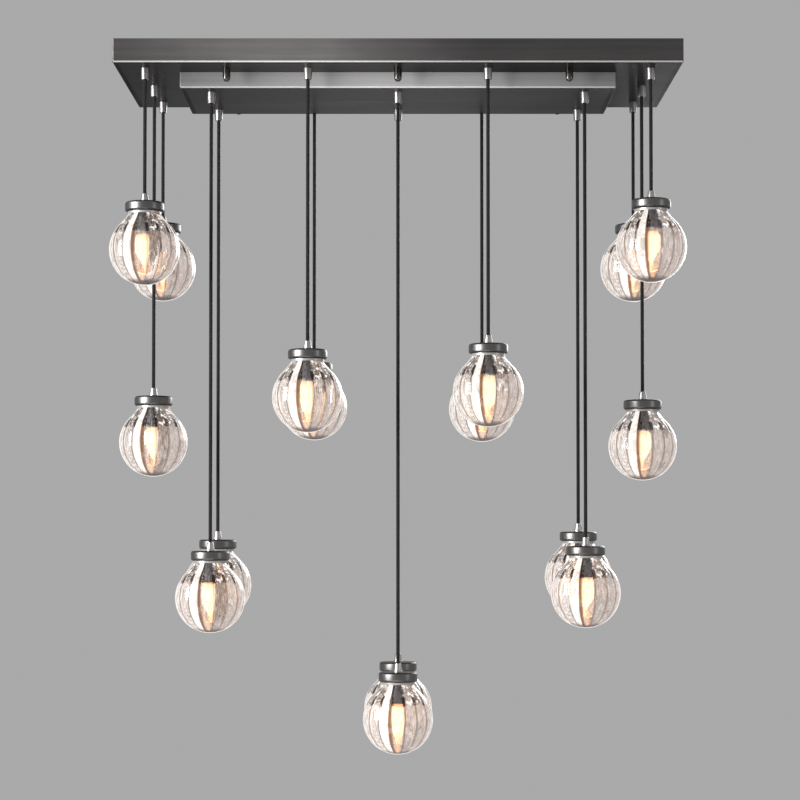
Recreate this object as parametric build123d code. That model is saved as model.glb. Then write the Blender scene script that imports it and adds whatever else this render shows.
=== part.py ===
"""Rectangular chandelier: sixteen ribbed glass globes hung on cords from a two-tier steel canopy.

Millimetres, +Z up. The origin is the middle of the face that lies against the ceiling. X runs along
the canopy, and the front row of lamps is on the -Y side.
"""

from build123d import *
import math
import os

os.makedirs("parts", exist_ok=True)

# Upper canopy pan
CANOPY_LENGTH = 1016.0
CANOPY_WIDTH = 411.0
CANOPY_DEPTH = 43.0
SHEET = 1.5
BEND_RADIUS = 2.5

# Lower canopy pan, set in from the edges of the upper one
TIER_INSET_X = 112.0
TIER_INSET_Y = 83.0
TIER_DEPTH = 29.0
TIER_FLANGE = 15.0

# Lamp positions
END_INSET = 53.0
ROW_INSET = 51.5
INNER_LAMP_X = 162.0
TIER_END_INSET = 54.4
TIER_ROW_INSET = 38.5

# Cord, how far it may swing, and the grips that it hangs from
CORD_DIAMETER = 6.5
CORD_CLEARANCE = 0.1
SWING_DEG = 8.0
SWING_CLEARANCE = 0.3
SEAT_DEPTH = 1.2
PIVOT_ABOVE_TIP = 2.0
GRIP_LENGTH = 20.0
GRIP_BASE_RADIUS = 8.0
GRIP_TIP_RADIUS = 6.75
THREAD_RADIUS = 5.0
THREAD_LENGTH = 9.0
LOCKNUT_FLATS = 14.0
LOCKNUT_HEIGHT = 4.0

# Cord tails inside the canopy
TAIL_HEIGHT_BELOW_CEILING = 12.0
TAIL_BEND_SHARE = 0.45

# Where the tails enter a terminal block's sides, as shares of its length from its middle
OUTER_TAIL_SHARE = 1 / 3
CENTRE_TAIL_SHARE = 1 / 12

# Crossbars, studs and cap nuts
BAR_WIDTH = 30.0
BAR_THICKNESS = 3.0
BAR_END = 16.0
BAR_CORNER_RADIUS = 5.0
STUD_RADIUS = 3.0
STUD_HEAD_RADIUS = 5.0
STUD_HEAD_HEIGHT = 1.2
STUD_INTO_NUT = 14.0
NUT_BORE_SPARE = 1.0
CAP_NUT_RADIUS = 7.0
CAP_NUT_LENGTH = 24.0
BOX_SLOT_PITCH = 79.4
BOX_SLOT_LENGTH = 24.0
BOX_SLOT_WIDTH = 4.8
ANCHOR_HOLE_PITCH = 130.0
ANCHOR_HOLE_RADIUS = 2.5
EARTH_SCREW_Y = 80.0

# Terminal blocks under the outer crossbars
BLOCK_WIDTH = 36.0
BLOCK_LENGTH = 100.0
BLOCK_HEIGHT = 18.0
BLOCK_CORNER_RADIUS = 3.0
TROUGH_CLEARANCE = 1.0
TROUGH_DEPTH = 8.0
TAIL_IN_TROUGH = 4.5
BLOCK_SCREW_PITCH = 44.0

# Small screws
SCREW_RADIUS = 2.0
SCREW_HEAD_RADIUS = 3.6
SCREW_HEAD_HEIGHT = 2.4
SCREW_NUT_FLATS = 7.0
SCREW_NUT_HEIGHT = 3.2
TIER_SCREWS_PER_SIDE = 4
TIER_END_SCREW_Y = 50.0

# Small gap that separate pieces are built with where they seat on each other
SEAT_GAP = 0.05

# Lampholder
HOLDER_GRIP_HEIGHT = 16.0
HOLDER_GRIP_TOP_RADIUS = 5.5
HOLDER_GRIP_BASE_RADIUS = 7.5
HOLDER_GRIP_FLOOR = 2.0
HOLDER_THREAD_RADIUS = 4.75
HOLDER_THREAD_LENGTH = 12.0
CAP_RADIUS = 35.25
CAP_HEIGHT = 18.0
CAP_WALL = 1.5
CAP_BEVEL = 4.0
GALLERY_RADIUS = 30.3
GALLERY_WALL = 1.4
GALLERY_BELOW_CAP = 4.0
SLEEVE_RADIUS = 11.5
SLEEVE_WALL = 2.4
SLEEVE_END = 57.0
SLEEVE_BORE_DEPTH = 40.0

# Bulb
BULB_RADIUS = 12.7
BULB_LENGTH = 74.0
BULB_CLEARANCE = 0.3
BULB_SHOULDER = 9.0
BULB_WALL = 1.0
BULB_INTO_SLEEVE = 10.0
BULB_END_SWEEP_DEG = 75.0
BULB_END_BEVELS = 2
BULB_INNER_BEVELS = 1
SCREW_SHELL_LENGTH = 17.0
STEM_LENGTH = 35.0
STEM_RADIUS = 2.5

# Ribbed glass globe
GLOBE_DIAMETER = 127.0
RIB_COUNT = 16
RIB_DEPTH = 1.8
GLASS_WALL = 2.4
GLOBE_FOOT_RADIUS = 12.0
NECK_CLEARANCE = 0.3
NECK_TOP = 5.0
SHOULDER_HEIGHT = 45.0
BOWL_BANDS = 9
CAVITY_BANDS = 7
SHOULDER_BANDS = 2
CAVITY_SIDES = 24

# Each lamp: column, row, and how far its cap hangs below the upper pan
LAMPS = [
    ("left", "front", 242.0),
    ("inner_left", "front", 507.0),
    ("inner_right", "front", 497.0),
    ("right", "front", 237.0),
    ("left", "middle", 581.0),
    ("right", "middle", 588.0),
    ("left", "rear", 237.0),
    ("inner_left", "rear", 506.0),
    ("inner_right", "rear", 509.0),
    ("right", "rear", 238.0),
    ("tier_left", "tier_front", 868.0),
    ("centre", "tier_front", 1088.0),
    ("tier_right", "tier_front", 859.0),
    ("tier_left", "tier_rear", 847.0),
    ("centre", "tier_rear", 1078.0),
    ("tier_right", "tier_rear", 832.0),
]

# Places worked out from the sizes above
tier_length = CANOPY_LENGTH - 2 * TIER_INSET_X
tier_width = CANOPY_WIDTH - 2 * TIER_INSET_Y
end_x = CANOPY_LENGTH / 2 - END_INSET
row_y = CANOPY_WIDTH / 2 - ROW_INSET
tier_x = tier_length / 2 - TIER_END_INSET
tier_row_y = tier_width / 2 - TIER_ROW_INSET
stud_x = (end_x + INNER_LAMP_X) / 2
upper_floor = -CANOPY_DEPTH
lower_floor = -CANOPY_DEPTH - TIER_DEPTH
cord_radius = CORD_DIAMETER / 2
trough_height = CORD_DIAMETER + TROUGH_CLEARANCE
globe_radius = GLOBE_DIAMETER / 2
pivot_above_grip_face = PIVOT_ABOVE_TIP - GRIP_LENGTH
swing_rise = cord_radius * math.sin(math.radians(SWING_DEG))
holder_hole_radius = HOLDER_THREAD_RADIUS + SEAT_GAP
neck_radius = GALLERY_RADIUS - GALLERY_WALL - NECK_CLEARANCE
gallery_top = CAP_WALL + SEAT_GAP
gallery_end = CAP_HEIGHT + GALLERY_BELOW_CAP
sleeve_bore = SLEEVE_RADIUS - SLEEVE_WALL
bulb_neck_radius = sleeve_bore - BULB_CLEARANCE
bulb_top = BULB_INTO_SLEEVE - SLEEVE_END
globe_centre = gallery_end + globe_radius + SEAT_GAP

COLUMNS = {
    "left": -end_x,
    "tier_left": -tier_x,
    "inner_left": -INNER_LAMP_X,
    "centre": 0.0,
    "inner_right": INNER_LAMP_X,
    "tier_right": tier_x,
    "right": end_x,
}
ROWS = {
    "front": -row_y,
    "tier_front": -tier_row_y,
    "middle": 0.0,
    "tier_rear": tier_row_y,
    "rear": row_y,
}


def lamp_place(lamp):
    """X and Y of a lamp's cord, and the height of the sheet that its grip is screwed into."""
    column, row, _ = lamp
    floor = lower_floor if row.startswith("tier") else upper_floor
    return COLUMNS[column], ROWS[row], floor


def turned(outline):
    """A solid of revolution about Z from a closed outline of radius and height."""
    return revolve(Plane.XZ * make_face(outline), Axis.Z)


def turned_polygon(*points):
    return turned(Polyline(*points, close=True))


def pan(length, width, depth, top):
    """A folded sheet pan, open at its top, with rounded bends at its corners and lower edges."""
    outside = Pos(0, 0, top - depth / 2) * Box(length, width, depth)
    bends = outside.edges().filter_by(Axis.Z) + outside.faces().sort_by(Axis.Z)[0].edges()
    inside = Pos(0, 0, top - depth / 2 + SHEET) * Box(length - 2 * SHEET, width - 2 * SHEET, depth)
    return fillet(bends, BEND_RADIUS) - inside


def hole(x, y, z, radius, depth):
    return Pos(x, y, z) * Cylinder(radius, depth)


def tier_screw_places():
    """Screws that hold the lower pan's flange under the upper pan."""
    side_y = tier_width / 2 - TIER_FLANGE / 2
    end_screw_x = tier_length / 2 - TIER_FLANGE / 2
    pitch = (tier_length - 2 * TIER_FLANGE) / TIER_SCREWS_PER_SIDE
    places = []
    for side in (-1, 1):
        for i in range(TIER_SCREWS_PER_SIDE):
            places.append((pitch * (i - (TIER_SCREWS_PER_SIDE - 1) / 2), side * side_y))
        places.append((side * end_screw_x, 0.0))
    return places


def stud_places():
    return [(x, y) for x in (-stud_x, 0.0, stud_x) for y in (-row_y, row_y)]


def grip_holes(floor):
    radius = THREAD_RADIUS + CORD_CLEARANCE
    return [
        hole(x, y, floor, radius, 4 * SHEET)
        for x, y, its_floor in map(lamp_place, LAMPS)
        if its_floor == floor
    ]


def make_outer_canopy():
    body = pan(CANOPY_LENGTH, CANOPY_WIDTH, CANOPY_DEPTH, 0.0)
    window = Box(tier_length - 2 * TIER_FLANGE, tier_width - 2 * TIER_FLANGE, 4 * SHEET)
    body -= Pos(0, 0, upper_floor) * window
    body -= grip_holes(upper_floor)
    body -= [hole(x, y, upper_floor, STUD_RADIUS + CORD_CLEARANCE, 4 * SHEET) for x, y in stud_places()]
    clear = SCREW_RADIUS + SEAT_GAP
    body -= [hole(x, y, upper_floor, clear, 4 * SHEET) for x, y in tier_screw_places()]
    return body


def make_lower_canopy():
    """The lower pan, with a flange turned inwards round its top."""
    top = upper_floor - SEAT_GAP
    body = pan(tier_length, tier_width, TIER_DEPTH - SEAT_GAP, top)
    rim = Box(tier_length - SHEET, tier_width - SHEET, SHEET)
    window = Box(tier_length - 2 * TIER_FLANGE, tier_width - 2 * TIER_FLANGE, 2 * SHEET)
    body += Pos(0, 0, top - SHEET / 2) * (rim - window)
    body -= grip_holes(lower_floor)
    clear = SCREW_RADIUS + SEAT_GAP
    body -= [hole(x, y, top, clear, 4 * SHEET) for x, y in tier_screw_places()]
    return body


def make_crossbars():
    """Three steel bars screwed to the ceiling: the middle one over its junction box."""
    bars = []
    for x in (-stud_x, 0.0, stud_x):
        bar = Pos(x, 0, -BAR_THICKNESS / 2) * Box(BAR_WIDTH, 2 * (row_y + BAR_END), BAR_THICKNESS)
        bar = fillet(bar.edges().filter_by(Axis.Z), BAR_CORNER_RADIUS)
        for side in (-1, 1):
            y = side * row_y
            bar -= hole(x, y, -BAR_THICKNESS, STUD_RADIUS + SEAT_GAP, 4 * BAR_THICKNESS)
            recess = STUD_HEAD_HEIGHT + SEAT_GAP
            bar -= hole(x, y, -recess / 2, STUD_HEAD_RADIUS + SEAT_GAP, recess)
            if x:
                y = side * ANCHOR_HOLE_PITCH / 2
                bar -= hole(x, y, -BAR_THICKNESS, ANCHOR_HOLE_RADIUS, 4 * BAR_THICKNESS)
                y = side * BLOCK_SCREW_PITCH / 2
                bar -= hole(x, y, -BAR_THICKNESS, SCREW_RADIUS + SEAT_GAP, 4 * BAR_THICKNESS)
            else:
                slot = extrude(SlotOverall(BOX_SLOT_LENGTH, BOX_SLOT_WIDTH, rotation=90), 4 * BAR_THICKNESS)
                bar -= Pos(x, side * BOX_SLOT_PITCH / 2, -3 * BAR_THICKNESS) * slot
        if not x:
            bar -= hole(x, EARTH_SCREW_Y, -BAR_THICKNESS, SCREW_RADIUS + SEAT_GAP, 4 * BAR_THICKNESS)
        bars.append(bar)
    return Compound(children=bars)


def make_studs():
    """Threaded studs pressed into the crossbars, with heads flush with the ceiling face."""
    tip = upper_floor - SEAT_GAP - STUD_INTO_NUT
    stud = turned_polygon(
        (0, 0),
        (STUD_HEAD_RADIUS, 0),
        (STUD_HEAD_RADIUS, -STUD_HEAD_HEIGHT),
        (STUD_RADIUS, -STUD_HEAD_HEIGHT),
        (STUD_RADIUS, tip),
        (0, tip),
    )
    return Compound(children=[Pos(x, y, 0) * stud for x, y in stud_places()])


def make_cap_nuts():
    """Plain round nuts with a domed tip, tightened up against the pan."""
    top = upper_floor - SEAT_GAP
    dome = top - CAP_NUT_LENGTH + CAP_NUT_RADIUS
    bore = STUD_RADIUS + SEAT_GAP
    bore_end = top - STUD_INTO_NUT - NUT_BORE_SPARE
    outline = Polyline((0, dome - CAP_NUT_RADIUS), (0, bore_end), (bore, bore_end), (bore, top))
    outline += Polyline((bore, top), (CAP_NUT_RADIUS, top), (CAP_NUT_RADIUS, dome))
    outline += CenterArc((0, dome), CAP_NUT_RADIUS, 0, -90)
    nut = turned(outline)
    return Compound(children=[Pos(x, y, 0) * nut for x, y in stud_places()])


def make_cord_grip():
    """A tapered grip with its sheet contact face at height 0 and its thread above.

    The cord swings about a point just inside the tip, where the bore opens out to let it.
    """
    bore = cord_radius + CORD_CLEARANCE
    swing = math.radians(SWING_DEG)
    mouth = cord_radius / math.cos(swing) + PIVOT_ABOVE_TIP * math.tan(swing) + SWING_CLEARANCE
    return turned_polygon(
        (bore, THREAD_LENGTH),
        (bore, pivot_above_grip_face + SEAT_DEPTH),
        (mouth, pivot_above_grip_face + SEAT_DEPTH),
        (mouth, -GRIP_LENGTH),
        (GRIP_TIP_RADIUS, -GRIP_LENGTH),
        (GRIP_BASE_RADIUS, 0),
        (THREAD_RADIUS, 0),
        (THREAD_RADIUS, THREAD_LENGTH),
    )


def make_cord_grips():
    grip = make_cord_grip()
    return Compound(children=[Pos(x, y, floor - SEAT_GAP) * grip for x, y, floor in map(lamp_place, LAMPS)])


def make_locknuts():
    nut = extrude(RegularPolygon(LOCKNUT_FLATS / 2, 6, major_radius=False), LOCKNUT_HEIGHT)
    nut -= Cylinder(THREAD_RADIUS + SEAT_GAP, 4 * LOCKNUT_HEIGHT)
    seat = SHEET + SEAT_GAP
    return Compound(children=[Pos(x, y, floor + seat) * nut for x, y, floor in map(lamp_place, LAMPS)])


def tail_end(lamp):
    """Where a lamp's cord tail goes into its block: an end for the tier's outer lamps, else a side."""
    x, y, _ = lamp_place(lamp)
    block_x = math.copysign(stud_x, x or y)
    if lamp[0] in ("tier_left", "tier_right"):
        return block_x, math.copysign(BLOCK_LENGTH / 2 - TAIL_IN_TROUGH, y)
    entry_x = block_x + math.copysign(BLOCK_WIDTH / 2 - TAIL_IN_TROUGH, x - block_x)
    if y == 0:
        return entry_x, 0.0
    share = OUTER_TAIL_SHARE if x else CENTRE_TAIL_SHARE
    return entry_x, math.copysign(share * BLOCK_LENGTH, y)


def make_cord_tails():
    """The cords' ends inside the canopy: up from the grip, one bend, and level into a terminal block."""
    tails = []
    level = -TAIL_HEIGHT_BELOW_CEILING
    for lamp in LAMPS:
        x, y, floor = lamp_place(lamp)
        start = floor - SEAT_GAP + pivot_above_grip_face + swing_rise + SWING_CLEARANCE
        tip_x, tip_y = tail_end(lamp)
        bend = TAIL_BEND_SHARE * min(level - start, math.hypot(tip_x - x, tip_y - y))
        route = FilletPolyline((x, y, start), (x, y, level), (tip_x, tip_y, level), radius=bend)
        tails.append(sweep(Plane((x, y, start)) * Circle(cord_radius), route))
    return Compound(children=tails)


def make_terminal_blocks():
    """Two moulded blocks with an open trough round their sides that takes the cord tails."""
    block = Box(BLOCK_WIDTH, BLOCK_LENGTH, BLOCK_HEIGHT)
    block = fillet(block.edges().filter_by(Axis.Z), BLOCK_CORNER_RADIUS)
    core = Box(BLOCK_WIDTH - 2 * TROUGH_DEPTH, BLOCK_LENGTH - 2 * TROUGH_DEPTH, trough_height)
    trough_z = BAR_THICKNESS + SEAT_GAP + BLOCK_HEIGHT / 2 - TAIL_HEIGHT_BELOW_CEILING
    block -= Pos(0, 0, trough_z) * (Box(2 * BLOCK_WIDTH, 2 * BLOCK_LENGTH, trough_height) - core)
    for side in (-1, 1):
        block -= hole(0, side * BLOCK_SCREW_PITCH / 2, 0, SCREW_RADIUS + SEAT_GAP, 2 * BLOCK_HEIGHT)
    middle = -BAR_THICKNESS - SEAT_GAP - BLOCK_HEIGHT / 2
    return Compound(children=[Pos(side * stud_x, 0, middle) * block for side in (-1, 1)])


def screw(head_at, length, up=True):
    """A pan-head screw whose head rests at a height, with its shank away from the head."""
    shank = turned_polygon(
        (0, SCREW_HEAD_HEIGHT),
        (SCREW_HEAD_RADIUS, SCREW_HEAD_HEIGHT),
        (SCREW_HEAD_RADIUS, 0),
        (SCREW_RADIUS, 0),
        (SCREW_RADIUS, -length),
        (0, -length),
    )
    return Pos(0, 0, head_at) * (shank if up else Rot(180, 0, 0) * shank)


def make_block_screws():
    bottom = -BAR_THICKNESS - 2 * SEAT_GAP - BLOCK_HEIGHT
    one = screw(bottom, BLOCK_HEIGHT + BAR_THICKNESS - 2 * SEAT_GAP, up=False)
    places = [(a * stud_x, b * BLOCK_SCREW_PITCH / 2) for a in (-1, 1) for b in (-1, 1)]
    return Compound(children=[Pos(x, y, 0) * one for x, y in places])


def make_tier_fasteners():
    """Screws and nuts that hold the lower pan to the upper one."""
    grip = 2 * SHEET + 3 * SEAT_GAP
    one = screw(upper_floor + SHEET + SEAT_GAP, grip + SCREW_NUT_HEIGHT + SCREW_RADIUS)
    nut = extrude(RegularPolygon(SCREW_NUT_FLATS / 2, 6, major_radius=False), SCREW_NUT_HEIGHT)
    nut -= Cylinder(SCREW_RADIUS + SEAT_GAP, 4 * SCREW_NUT_HEIGHT)
    nut = Pos(0, 0, upper_floor - SHEET - 2 * SEAT_GAP - SCREW_NUT_HEIGHT) * nut
    made = [Pos(x, y, 0) * piece for x, y in tier_screw_places() for piece in (one, nut)]
    return Compound(children=made)


def make_earth_screw():
    return Pos(0, EARTH_SCREW_Y, 0) * screw(-BAR_THICKNESS - SEAT_GAP, BAR_THICKNESS - SEAT_GAP, up=False)


def make_holder_grip():
    """The cone on top of the lampholder, bored for the cord and threaded below."""
    bore = cord_radius + CORD_CLEARANCE
    return turned_polygon(
        (0, HOLDER_GRIP_FLOOR),
        (bore, HOLDER_GRIP_FLOOR),
        (bore, HOLDER_GRIP_HEIGHT),
        (HOLDER_GRIP_TOP_RADIUS, HOLDER_GRIP_HEIGHT),
        (HOLDER_GRIP_BASE_RADIUS, SEAT_GAP),
        (HOLDER_THREAD_RADIUS, SEAT_GAP),
        (HOLDER_THREAD_RADIUS, -HOLDER_THREAD_LENGTH),
        (0, -HOLDER_THREAD_LENGTH),
    )


def make_cap():
    """A turned cap with bevelled rims and a deep recess in which the gallery sits."""
    recess = GALLERY_RADIUS + CORD_CLEARANCE
    return turned_polygon(
        (holder_hole_radius, 0),
        (CAP_RADIUS - CAP_BEVEL, 0),
        (CAP_RADIUS, -CAP_BEVEL),
        (CAP_RADIUS, CAP_BEVEL - CAP_HEIGHT),
        (CAP_RADIUS - CAP_BEVEL, -CAP_HEIGHT),
        (recess, -CAP_HEIGHT),
        (recess, -CAP_WALL),
        (holder_hole_radius, -CAP_WALL),
    )


def make_gallery():
    """The bright ring round the neck of the globe, with a plate across its top."""
    inside = GALLERY_RADIUS - GALLERY_WALL
    return turned_polygon(
        (holder_hole_radius, -gallery_top),
        (GALLERY_RADIUS, -gallery_top),
        (GALLERY_RADIUS, -gallery_end),
        (inside, -gallery_end),
        (inside, -gallery_top - GALLERY_WALL),
        (holder_hole_radius, -gallery_top - GALLERY_WALL),
    )


def make_sleeve():
    """The lamp socket's metal sleeve, threaded on to the grip above and open below for the bulb."""
    top = -gallery_top - GALLERY_WALL - SEAT_GAP
    bore_top = SLEEVE_BORE_DEPTH - SLEEVE_END
    return turned_polygon(
        (holder_hole_radius, top),
        (SLEEVE_RADIUS, top),
        (SLEEVE_RADIUS, -SLEEVE_END),
        (sleeve_bore, -SLEEVE_END),
        (sleeve_bore, bore_top),
        (holder_hole_radius, bore_top),
    )


def make_bulb_base():
    """The bulb's screw shell with the glass stem that carries its filament."""
    collar = bulb_top + SEAT_GAP
    return turned_polygon(
        (0, collar + SCREW_SHELL_LENGTH),
        (bulb_neck_radius, collar + SCREW_SHELL_LENGTH),
        (bulb_neck_radius, collar),
        (STEM_RADIUS, collar),
        (STEM_RADIUS, collar - STEM_LENGTH),
        (0, collar - STEM_LENGTH),
    )


def make_lampholder():
    """Cord grip, cap, gallery, socket sleeve and bulb base of one lamp, from its cap's top at height 0."""
    return [make_holder_grip(), make_cap(), make_gallery(), make_sleeve(), make_bulb_base()]


def bulb_side(neck, radius, tip, bevels):
    """Half an outline of the bulb's glass, from its mouth down to its round end, made in bevels."""
    side = [(neck, bulb_top), (neck, -SLEEVE_END)]
    side.append((radius, -SLEEVE_END - BULB_SHOULDER))
    for i in range(bevels + 1):
        angle = math.radians(BULB_END_SWEEP_DEG * i / bevels)
        side.append((radius * math.cos(angle), tip + radius - radius * math.sin(angle)))
    side.append((0, side[-1][1]))
    return side


def make_bulb():
    """The tubular glass envelope, hollow, open at its neck."""
    tip = -SLEEVE_END - BULB_LENGTH
    outer = bulb_side(bulb_neck_radius, BULB_RADIUS, tip, BULB_END_BEVELS)
    inner = bulb_side(
        bulb_neck_radius - BULB_WALL, BULB_RADIUS - BULB_WALL, tip + BULB_WALL, BULB_INNER_BEVELS
    )
    return turned_polygon(*outer, *reversed(inner))


def meridian(radius, foot_radius, throat, bands):
    """Height and radius up one side of the globe: a bowl to the shoulder, then a flare into the neck."""
    foot = math.asin(foot_radius / radius)
    shoulder = math.pi - math.acos(SHOULDER_HEIGHT / globe_radius)
    angles = [foot + (shoulder - foot) * i / bands for i in range(bands + 1)]
    stations = [(-radius * math.cos(angle), radius * math.sin(angle)) for angle in angles]
    height, start = stations[-1]
    rise = globe_radius - height
    run = rise * height / start
    flare = throat - start + run
    for i in range(1, SHOULDER_BANDS + 1):
        share = i / SHOULDER_BANDS
        stations.append((height + rise * share, start - run * share + flare * share**2))
    return stations


def ribbed_ring(height, radius):
    """The corners of one level slice: each rib is three flats between its grooves."""
    groove = radius * (1 - RIB_DEPTH / globe_radius)
    step = 360 / RIB_COUNT
    corners = []
    for i in range(RIB_COUNT):
        for away, reach in ((-1 / 2, groove), (-1 / 6, radius), (1 / 6, radius)):
            corners.append(Vector(reach, 0, height).rotate(Axis.Z, step * (i + away)))
    return corners


def plain_ring(height, radius):
    step = 360 / CAVITY_SIDES
    return [Vector(radius, 0, height).rotate(Axis.Z, step * i) for i in range(CAVITY_SIDES)]


def flat_face(corners):
    return make_face(Polyline(*corners, close=True)).face()


def skinned(rings):
    """A solid of flat faces from each level ring of corners to the next, closed at both ends."""
    faces = [flat_face(rings[0]), flat_face(rings[-1])]
    for lower, upper in zip(rings, rings[1:]):
        for i, corner in enumerate(lower):
            faces.append(flat_face([lower[i - 1], corner, upper[i], upper[i - 1]]))
    return Solid(Shell(faces))


def make_globe():
    """The ribbed glass globe, open at its neck, with its centre at the origin."""
    outside = meridian(globe_radius, GLOBE_FOOT_RADIUS, neck_radius, BOWL_BANDS)
    outside.append((globe_centre - NECK_TOP, neck_radius))
    throat = neck_radius - GLASS_WALL
    inside = meridian(globe_radius - RIB_DEPTH - GLASS_WALL, GLOBE_FOOT_RADIUS, throat, CAVITY_BANDS)
    inside.append((2 * globe_radius, throat))
    glass = skinned([ribbed_ring(height, radius) for height, radius in outside])
    return glass - skinned([plain_ring(height, radius) for height, radius in inside])


def save(node, piece):
    export_step(piece, f"parts/{node}.step")


def main():
    save("outer_canopy", make_outer_canopy())
    save("lower_canopy", make_lower_canopy())
    save("crossbars", make_crossbars())
    save("canopy_studs", make_studs())
    save("cap_nuts", make_cap_nuts())
    save("cord_grips", make_cord_grips())
    save("grip_locknuts", make_locknuts())
    save("cord_tails", make_cord_tails())
    save("terminal_blocks", make_terminal_blocks())
    save("block_screws", make_block_screws())
    save("tier_fasteners", make_tier_fasteners())
    save("earth_screw", make_earth_screw())
    holder = make_lampholder()
    glass = [Pos(0, 0, -globe_centre) * make_globe(), make_bulb()]
    for number, lamp in enumerate(LAMPS, start=1):
        x, y, floor = lamp_place(lamp)
        cap_top = upper_floor - lamp[2]
        pivot = floor - SEAT_GAP + pivot_above_grip_face
        cord_bottom = cap_top + HOLDER_GRIP_FLOOR + SEAT_GAP
        cord = Pos(x, y, (pivot + cord_bottom) / 2) * Cylinder(cord_radius, pivot - cord_bottom)
        save(f"cord_{number:02d}", cord)
        hung = Pos(x, y, cap_top)
        save(f"lampholder_{number:02d}", Compound(children=[hung * piece for piece in holder]))
        save(f"globe_and_bulb_{number:02d}", Compound(children=[hung * piece for piece in glass]))


main()
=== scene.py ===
"""Looks of a rectangular chandelier: brushed canopy, covered cords, turned lampholders, ribbed glass globes.

Metres, +Z up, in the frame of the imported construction, whose origin is on the ceiling.
"""

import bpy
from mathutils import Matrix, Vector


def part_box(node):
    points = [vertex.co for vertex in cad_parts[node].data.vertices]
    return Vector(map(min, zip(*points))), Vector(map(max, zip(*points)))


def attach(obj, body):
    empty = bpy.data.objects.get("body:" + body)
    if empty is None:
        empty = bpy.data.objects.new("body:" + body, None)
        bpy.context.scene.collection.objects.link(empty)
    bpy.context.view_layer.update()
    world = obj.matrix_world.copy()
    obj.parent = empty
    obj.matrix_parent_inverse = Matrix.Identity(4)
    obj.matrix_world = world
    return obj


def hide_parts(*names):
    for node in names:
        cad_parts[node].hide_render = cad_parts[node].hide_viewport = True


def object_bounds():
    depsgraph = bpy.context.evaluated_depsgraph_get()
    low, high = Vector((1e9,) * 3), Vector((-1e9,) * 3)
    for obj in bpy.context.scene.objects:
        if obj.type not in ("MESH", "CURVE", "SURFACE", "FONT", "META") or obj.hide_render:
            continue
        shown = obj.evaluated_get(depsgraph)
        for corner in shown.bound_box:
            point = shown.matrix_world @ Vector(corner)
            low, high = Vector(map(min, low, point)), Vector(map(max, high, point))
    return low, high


bl_info = {
    "name": "Rectangular Chandelier",
    "version": (1, 0, 0),
    "blender": (4, 5, 0),
    "location": "View3D > Sidebar > Chandelier",
    "description": "Finishes the canopy, cords, lampholders, globes and bulbs of a rectangular chandelier",
    "category": "Object",
}

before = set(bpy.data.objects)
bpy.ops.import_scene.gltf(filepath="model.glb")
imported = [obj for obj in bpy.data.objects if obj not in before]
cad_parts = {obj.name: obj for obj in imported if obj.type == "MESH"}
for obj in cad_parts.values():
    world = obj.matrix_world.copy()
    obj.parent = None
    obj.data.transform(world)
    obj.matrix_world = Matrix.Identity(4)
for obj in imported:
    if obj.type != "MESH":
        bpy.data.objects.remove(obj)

import math
from functools import reduce

import bmesh
import bpy
from bpy.props import FloatProperty, FloatVectorProperty, IntProperty, PointerProperty
from mathutils import Vector

CAD_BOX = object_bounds()
CORDS = [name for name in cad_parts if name.startswith("cord_") and name[-2:].isdigit()]
LAMPS = sorted(name[-2:] for name in CORDS)

FULL_TURN = 2 * math.pi
ON_AXIS = 1e-6
GLASS_INDEX = 1.47
THIN_GLASS_INDEX = 1.3

# Plain colours of the small parts
BLACK = (0.0, 0.0, 0.0)
ZINC = (0.55, 0.55, 0.52)
GREEN_LACQUER = (0.10, 0.32, 0.12)
MOULDING = (0.78, 0.76, 0.70)
NUT_METAL = (0.12, 0.115, 0.11)
GRIP_METAL = (0.36, 0.35, 0.345)
GALLERY_METAL = (0.46, 0.455, 0.45)
CORD_GRIP_METAL = (0.50, 0.49, 0.48)
FLOOR_GREY = (0.55, 0.55, 0.55)

# Studio lights: name, place from the chandelier's middle, width and height, power in watts
SOFTBOXES = (
    ("key_light", (-3.1, -1.9, 0.5), (1.7, 2.4), 210.0),
    ("fill_light", (3.2, -1.9, 0.2), (0.4, 2.2), 9.0),
    ("back_light", (1.6, 3.0, 0.9), (2.0, 1.4), 45.0),
    ("low_light", (-0.5, -1.6, -2.0), (2.4, 1.6), 28.0),
)
AMBIENT = 0.35
CORE_STRENGTH = 1.05
BULB_GLASS_STRENGTH = 0.07

# Slots of a lampholder's metals
CAP_SLOT, GALLERY_SLOT, SLEEVE_SLOT, GRIP_SLOT = range(4)


def length(label, text, default):
    return FloatProperty(name=label, description=text, default=default, unit="LENGTH", precision=5)


def share(label, text, default):
    return FloatProperty(name=label, description=text, default=default, min=0.0, max=1.0, subtype="FACTOR")


def colour(label, text, default):
    given = {"name": label, "description": text, "default": default}
    return FloatVectorProperty(**given, size=3, min=0.0, subtype="COLOR")


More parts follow.
